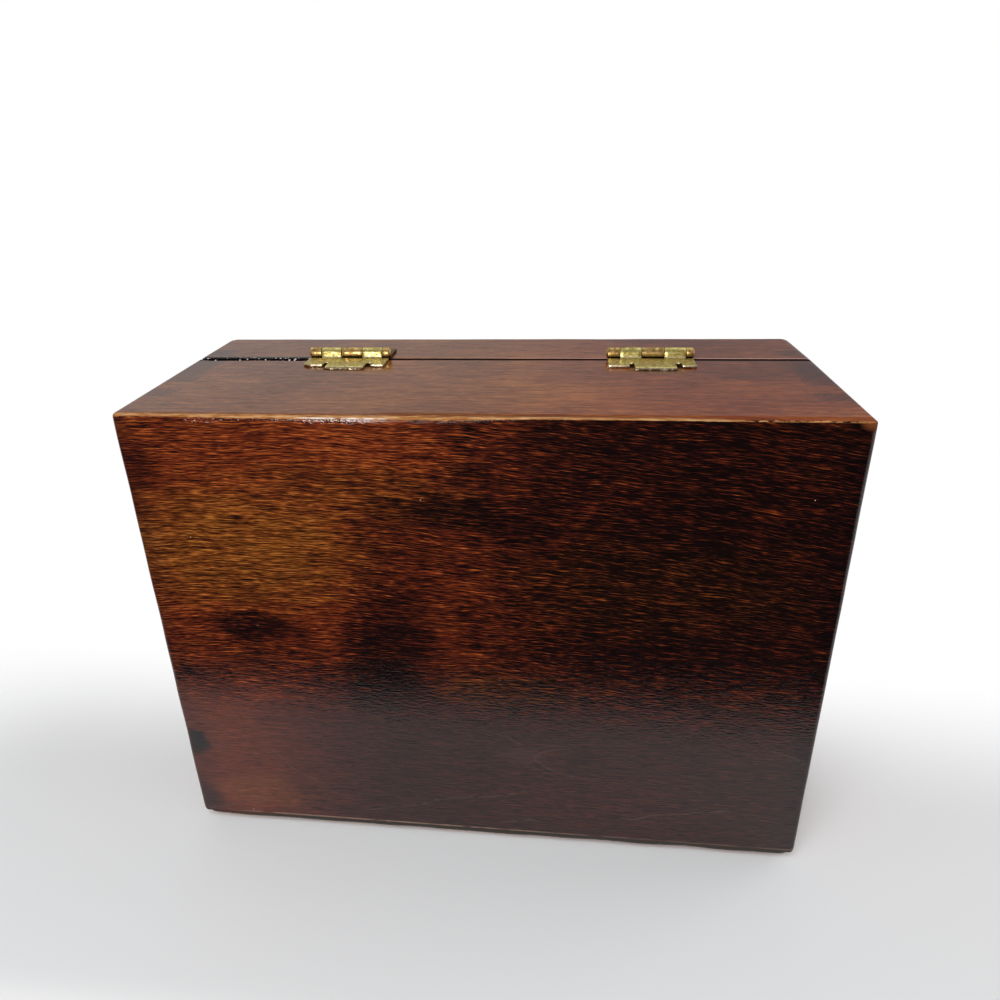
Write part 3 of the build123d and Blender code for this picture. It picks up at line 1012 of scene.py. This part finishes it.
def wall_material(name, along_axis, seed):
    """A wall or the top: grain along one axis, darker on its end grain and plainer and matt inside."""
    material, tree = new_material(name)
    point, normal = tree.place()
    x, y, z = point
    nx, ny, nz = normal
    along, side = (x, y) if along_axis == 0 else (y, x)
    inner = INSIDE_Y if along_axis == 0 else INSIDE_X
    end_face = tree.step(tree.size(normal[along_axis]), 0.5, 0.8)
    fine, broad = grain_lines(tree, along, tree.plus(z, tree.times(side, 0.9)), seed)
    coarse = tree.swing(point, (0.5, 0.5, 0.7), 1.0)
    fine = tree.plus(tree.times(fine, tree.minus(1.0, end_face)), tree.times(coarse, end_face, 0.6))
    end_grain = tree.times(end_face, tree.step(tree.size(side), inner - 0.5, inner + 2.5, 0.25, 1.0))
    colour = wall_stain(tree, x, y, z, fine, broad, tree.times(end_grain, 0.16))
    on_back = tree.step(y, BACK - 1.0, BACK)
    # Painted shade: near black on the back just below each hinge's centre tab and where the wood shows
    # through the notches, with the varnish left off there
    hinge_shade = 0.0
    for middle in HINGES.values():
        # Painted shade: a soft reddish darkening of the back below each hinge's tabs
        shade_under_hinge = tree.spot(x, z, (middle, AXIS_Z - FOLD_REACH - 0.4), (8.5, 2.0))
        colour = tree.mix(tree.times(shade_under_hinge, on_back, 0.9), colour, (0.30, 0.16, 0.18), "MULTIPLY")
        centre = middle - (CENTRE_LEFT + CENTRE_RIGHT) / 2
        under_tab = tree.band(z, AXIS_Z - FOLD_REACH - 0.25, 0.25, 0.3)
        under_tab = tree.times(under_tab, tree.band(x, centre, (CENTRE_RIGHT - CENTRE_LEFT) / 2, 0.5))
        hinge_shade = tree.most(hinge_shade, under_tab)
        for left, width in NOTCHES:
            place = (middle - left - width / 2, AXIS_Z - NOTCH_REACH - width / 2 - 0.6)
            hinge_shade = tree.most(hinge_shade, tree.spot(x, z, place, (width, 2.4)))
    hinge_shade = tree.times(hinge_shade, on_back)
    colour = tree.mix(tree.times(hinge_shade, 0.95), colour, SEAM_BLACK)
    colour = tree.mix(tree.times(joint_lines(tree, point, normal), 0.3), colour, SEAM_BLACK)
    # Painted shade in the seam: near black on the outer parts of the faces in the gap and on the base's edge
    # just below it, with the varnish left off
    gap = (SEAM_LOW + SEAM_HIGH) / 2
    outer = tree.most(
        tree.step(tree.size(x), HALF_LENGTH - 1.8, HALF_LENGTH - 1.0),
        tree.step(tree.size(y), BACK - 1.8, BACK - 1.0),
    )
    level_face = tree.times(tree.step(tree.size(nz), 0.25, 0.45), tree.band(z, gap, 0.9, 0.2), outer)
    seam = tree.most(level_face, tree.times(tree.band(z, SEAM_LOW - 0.3, 0.6, 0.3), outer))
    # Painted highlight: a thin pale line along the lid's lower edge, strongest towards the box's left
    lid_rim_highlight = tree.times(tree.band(z, SEAM_HIGH + 1.0, 0.15, 0.3), tree.step(x, 30.0, -30.0, 0.12, 0.65))
    colour = tree.mix(lid_rim_highlight, colour, (0.60, 0.36, 0.30))
    crust = crust_mask(tree, point)
    colour = tree.mix(tree.most(tree.times(seam, 0.97), crust), colour, SEAM_BLACK)
    # Painted glints: pale dashes along the crust and the seam's level faces, towards the box's right
    glint = tree.times(tree.most(crust, level_face), tree.step(x, 48.0, 54.0))
    glint = tree.times(glint, tree.band(z, SEAM_HIGH + 0.4, 0.35, 0.4), outer)
    dashes = specks(tree, x, tree.times(z, 2.0), 1.1, 0.40, seed)
    colour = tree.mix(tree.times(glint, dashes), colour, (0.75, 0.66, 0.60))
    worn = tree.times(tree.step(tree.size(ny), 0.9, 0.7), tree.step(tree.size(nx), 0.9, 0.7))
    worn = tree.times(worn, tree.step(tree.size(nz), 0.95, 0.8), tree.minus(1.0, crust))
    rub = tree.step(tree.noise(point, (4.0, 4.0, 4.0), 3.0), 0.42, 0.6)
    worn = tree.times(worn, rub, tree.minus(1.0, seam))
    colour = tree.mix(tree.times(worn, 0.6), colour, (0.30, 0.12, 0.045))
    # Painted highlight: a pale line down the rounding of the back corner at the box's left
    corner = tree.times(tree.band(nx, -0.66, 0.10, 0.12), tree.band(ny, 0.75, 0.10, 0.12))
    corner = tree.times(corner, tree.minus(1.0, seam), 0.22)
    colour = tree.mix(corner, colour, (0.62, 0.42, 0.36))
    inside = inside_share(tree, point)
    colour = tree.mix(inside, colour, tree.ramp(tree.plus(0.46, tree.times(fine, 0.2)), AMBER_STAIN))

    ripple = tree.noise(point, (2.6, 1.4, 1.1))
    lumps = tree.noise(point, (0.8, 0.8, 0.8))
    height = tree.plus(tree.times(ripple, 0.030), tree.times(lumps, crust, 0.6))
    dull = tree.most(tree.times(worn, 0.5), seam, hinge_shade, tree.times(crust, 0.4))
    varnished(tree, point, colour, dull, fine, tree.bump(height))
    return material


def brass_material(name, light, dark, seed, shaded):
    """Tarnished brass, with a painted highlight on its cut edges that face down. The lid leaf's plate is
    darker and its ends near black. shaded says how much painted shade darkens its knuckles' foot.
    """
    material, tree = new_material(name)
    point, normal = tree.place()
    x, y, z = point
    spots = tree.noise((x, y, tree.plus(tree.over(z, 1.1), seed)), (1.1, 1.1, 1.0), 4.0, 0.7)
    scratch = tree.noise(point, (3.0, 0.15, 0.15))
    tone = tree.plus(tree.times(spots, 0.85), tree.times(scratch, 0.2))
    colour = tree.ramp(tone, ((0.42, dark), (0.62, light)))
    # Painted highlight on the cut edges that face down, near the wood
    tab_edge_highlight = tree.times(tree.step(normal[2], -0.5, -0.85), tree.step(y, BACK + 1.4, BACK + 1.0))
    colour = tree.mix(tree.times(tab_edge_highlight, 0.8), colour, (0.94, 0.80, 0.60))
    grime = tree.times(tree.step(y, BACK + 0.7, BACK + 0.2), tree.step(spots, 0.7, 0.45))
    colour = tree.mix(grime, colour, (0.10, 0.05, 0.02))
    # Painted shade at the foot of the knuckles, as dark as shaded says
    foot = tree.times(tree.step(y, AXIS_Y - 0.5, AXIS_Y - 1.0), tree.step(z, AXIS_Z, AXIS_Z - 0.5))
    colour = tree.mix(tree.times(foot, shaded), colour, (0.020, 0.010, 0.006))
    lid_plate = tree.times(tree.step(z, AXIS_Z + 1.6, AXIS_Z + 2.2), tree.step(y, BACK + 1.6, BACK + 1.0))
    colour = tree.mix(tree.times(lid_plate, 0.8), colour, (0.15, 0.085, 0.045))
    plate_end = tree.times(lid_plate, tree.step(tree.size(normal[0]), 0.5, 0.8))
    colour = tree.mix(plate_end, colour, (0.010, 0.006, 0.005))
    roughness = tree.step(spots, 0.3, 0.7, 0.52, 0.30)
    bump = tree.bump(scratch, 0.3, 0.05 * MM)
    surface(tree, **{"Base Color": colour, "Metallic": 1.0, "Roughness": roughness, "Normal": bump})
    return material


def dress(piece, material):
    piece.data.materials.clear()
    piece.data.materials.append(material)


underside = underside_material()
long_wood = wall_material("long_wall_wood", 0, 2.0)
end_wood = wall_material("end_wall_wood", 1, 9.0)
top_wood = wall_material("top_board_wood", 0, 14.0)
bright_brass = brass_material("bright_brass", (0.88, 0.76, 0.30), (0.40, 0.30, 0.075), 1.0, 0.0)
dull_brass = brass_material("dull_brass", (0.84, 0.58, 0.22), (0.32, 0.180, 0.060), 6.0, 0.95)

for node, piece in wood.items():
    if node == "bottom_board":
        dress(piece, underside)
    elif node == "lid_top_board":
        dress(piece, top_wood)
    elif "front" in node or "back" in node:
        dress(piece, long_wood)
    else:
        dress(piece, end_wood)
dress(seam_shade_strip, end_wood)
for name, piece in brass.items():
    dress(piece, bright_brass if name.endswith("base") else dull_brass)


# The floor that the box lies on in the photograph, and the floor under the box when it stands upright.
# Each is seen from its upper side only, so neither hides the other's views.
FLOOR_GAP = 0.8
GROUND_GAP = 0.05
COUNTER_EDGE = -73.0
COUNTER_FADE = -50.0
COUNTER_SPLIT = 2.2
COUNTER_TOP = 90.0
COUNTER_HALF = 300.0
GROUND_HALF = 1000.0


def floor_material(name, colour, shown):
    """Pale floor seen from its upper side only. shown makes the fade at its borders."""
    material, tree = new_material(name)
    point = tree.place()[0]
    paint = tree.add("ShaderNodeBsdfDiffuse", {"Color": (*colour, 1.0)})
    clear = tree.add("ShaderNodeBsdfTransparent")
    behind = tree.add("ShaderNodeNewGeometry").outputs["Backfacing"]
    seen = tree.times(shown(tree, point), tree.minus(1.0, behind))
    mixed = tree.add("ShaderNodeMixShader", {0: seen, 1: clear.outputs[0], 2: paint.outputs[0]})
    output = tree.add("ShaderNodeOutputMaterial")
    tree.put(output.inputs["Surface"], mixed.outputs[0])
    return material


def floor_plane(name, start, along, across, material, mirrored):
    """A stretch of floor from one corner along two sides. mirrored: the box's gloss and shade take it in."""
    start, along, across = (Vector(side) * MM for side in (start, along, across))
    mesh = bpy.data.meshes.new(name)
    mesh.from_pydata((start, start + along, start + along + across, start + across), [], [(0, 1, 2, 3)])
    mesh.materials.append(material)
    piece = bpy.data.objects.new(name, mesh)
    bpy.context.scene.collection.objects.link(piece)
    piece.visible_shadow = False
    piece.visible_transmission = False
    piece.visible_diffuse = mirrored
    piece.visible_glossy = mirrored


def counter_shown(tree, point):
    x = point[0]
    z = point[2]
    sides = tree.step(tree.size(x), 270.0, 150.0)
    ends = tree.times(tree.step(z, COUNTER_TOP, 15.0), tree.step(z, COUNTER_EDGE, COUNTER_FADE))
    return tree.times(sides, ends)


def ground_shown(tree, point):
    x = point[0]
    y = point[1]
    far = tree.math("SQRT", tree.plus(tree.times(x, x), tree.times(y, y)))
    return tree.step(far, 900.0, 500.0)


COUNTER_COLOUR = (0.77, 0.78, 0.79)
GROUND_COLOUR = (0.84, 0.84, 0.835)
counter_y = FRONT - FLOOR_GAP
counter_floor = floor_material("counter_floor", COUNTER_COLOUR, counter_shown)
for name, low, high, mirrored in (
    ("counter_near", COUNTER_EDGE, COUNTER_SPLIT, True),
    ("counter_far", COUNTER_SPLIT, COUNTER_TOP, False),
):
    start = (-COUNTER_HALF, counter_y, low)
    floor_plane(name, start, (0, 0, high - low), (2 * COUNTER_HALF, 0, 0), counter_floor, mirrored)
start = (-GROUND_HALF, -GROUND_HALF, -GROUND_GAP)
ground_floor = floor_material("ground_floor", GROUND_COLOUR, ground_shown)
floor_plane("ground", start, (2 * GROUND_HALF, 0, 0), (0, 2 * GROUND_HALF, 0), ground_floor, False)


def facing(forward, up):
    """The turn of a camera or a lamp that looks along forward."""
    forward = Vector(forward).normalized()
    right = forward.cross(Vector(up)).normalized()
    return Matrix((right, right.cross(forward), -forward)).transposed().to_4x4()


def lamp(name, place, aim, width, height, power, mirrored=False):
    """A soft oblong lamp. place, aim, width and height are in millimetres, power in watts."""
    data = bpy.data.lights.new(name, "AREA")
    data.shape = "RECTANGLE"
    data.size = width * MM
    data.size_y = height * MM
    data.energy = power
    piece = bpy.data.objects.new(name, data)
    bpy.context.scene.collection.objects.link(piece)
    direction = Vector(aim) - Vector(place)
    piece.matrix_world = Matrix.Translation(Vector(place) * MM) @ facing(direction, (0.0, 1.0, 0.0))
    piece.visible_camera = False
    piece.visible_glossy = mirrored
    return piece


middle = (0.0, 0.0, HEIGHT / 2)
lamp("back_lamp", (120, 700, -420), middle, 420, 420, 3.5)
lamp("window_lamp", (170, 170, -680), (30, 40, 0), 110, 260, 2.2, mirrored=True)
lamp("top_lamp", (-180, -260, 800), middle, 420, 420, 4.5)
lamp("front_lamp", (300, -800, 260), middle, 420, 420, 3.5)
lamp("end_lamp", (-700, 120, 300), middle, 420, 420, 2.0)

ROOM_LIGHT = 0.42
WALL_GLOSS = (0.28, 0.46)
SKY_GLOSS = 0.95
ROOM_GLOSS = 0.30
SIDE_GLOSS = 0.9


def world_light():
    """White where the camera looks past the box. What the gloss mirrors is bright above and dark below."""
    world = bpy.data.worlds.new("studio")
    bpy.context.scene.world = world
    world.use_nodes = True
    tree = Nodes(world.node_tree)
    direction = tree.add("ShaderNodeTexCoord").outputs["Generated"]
    x, y, z = tree.add("ShaderNodeSeparateXYZ", {0: direction}).outputs
    wall = tree.step(x, -0.25, 0.45, *WALL_GLOSS)
    above = tree.times(tree.step(z, -0.25, 0.05), tree.step(z, 0.45, 0.9, SKY_GLOSS, wall))
    room = tree.most(tree.step(y, 0.2, 0.7, 0.0, ROOM_GLOSS), tree.step(x, -0.45, -0.75, 0.0, SIDE_GLOSS))
    below = tree.times(tree.step(z, 0.05, -0.25), room)
    mirrored = tree.plus(above, below)
    path = tree.add("ShaderNodeLightPath").outputs
    shiny = tree.most(path["Is Glossy Ray"], path["Is Transmission Ray"])
    strength = tree.plus(ROOM_LIGHT, tree.times(shiny, tree.minus(mirrored, ROOM_LIGHT)))
    seen = path["Is Camera Ray"]
    strength = tree.plus(tree.times(strength, tree.minus(1.0, seen)), seen)
    background = tree.add("ShaderNodeBackground", {"Color": (1.0, 1.0, 1.0, 1.0), "Strength": strength})
    output = tree.add("ShaderNodeOutputWorld")
    tree.put(output.inputs["Surface"], background.outputs[0])


world_light()

# The camera, fitted to the box's edges in the photograph
CAMERA_PLACE = (-22.58, 125.62, -169.71)
CAMERA_FORWARD = (0.11837, -0.42347, 0.89814)
CAMERA_UP = (0.02315, 0.90543, 0.42386)
FOCAL = 28.2
CAMERA_SHIFT = 0.024

camera_data = bpy.data.cameras.new("photo_camera")
camera_data.lens = FOCAL
camera_data.sensor_width = 36.0
camera_data.shift_x = CAMERA_SHIFT
camera_data.clip_start = 0.01
camera = bpy.data.objects.new("photo_camera", camera_data)
bpy.context.scene.collection.objects.link(camera)
camera.matrix_world = Matrix.Translation(Vector(CAMERA_PLACE) * MM) @ facing(CAMERA_FORWARD, CAMERA_UP)
bpy.context.scene.camera = camera

bpy.context.scene.view_settings.view_transform = "Standard"
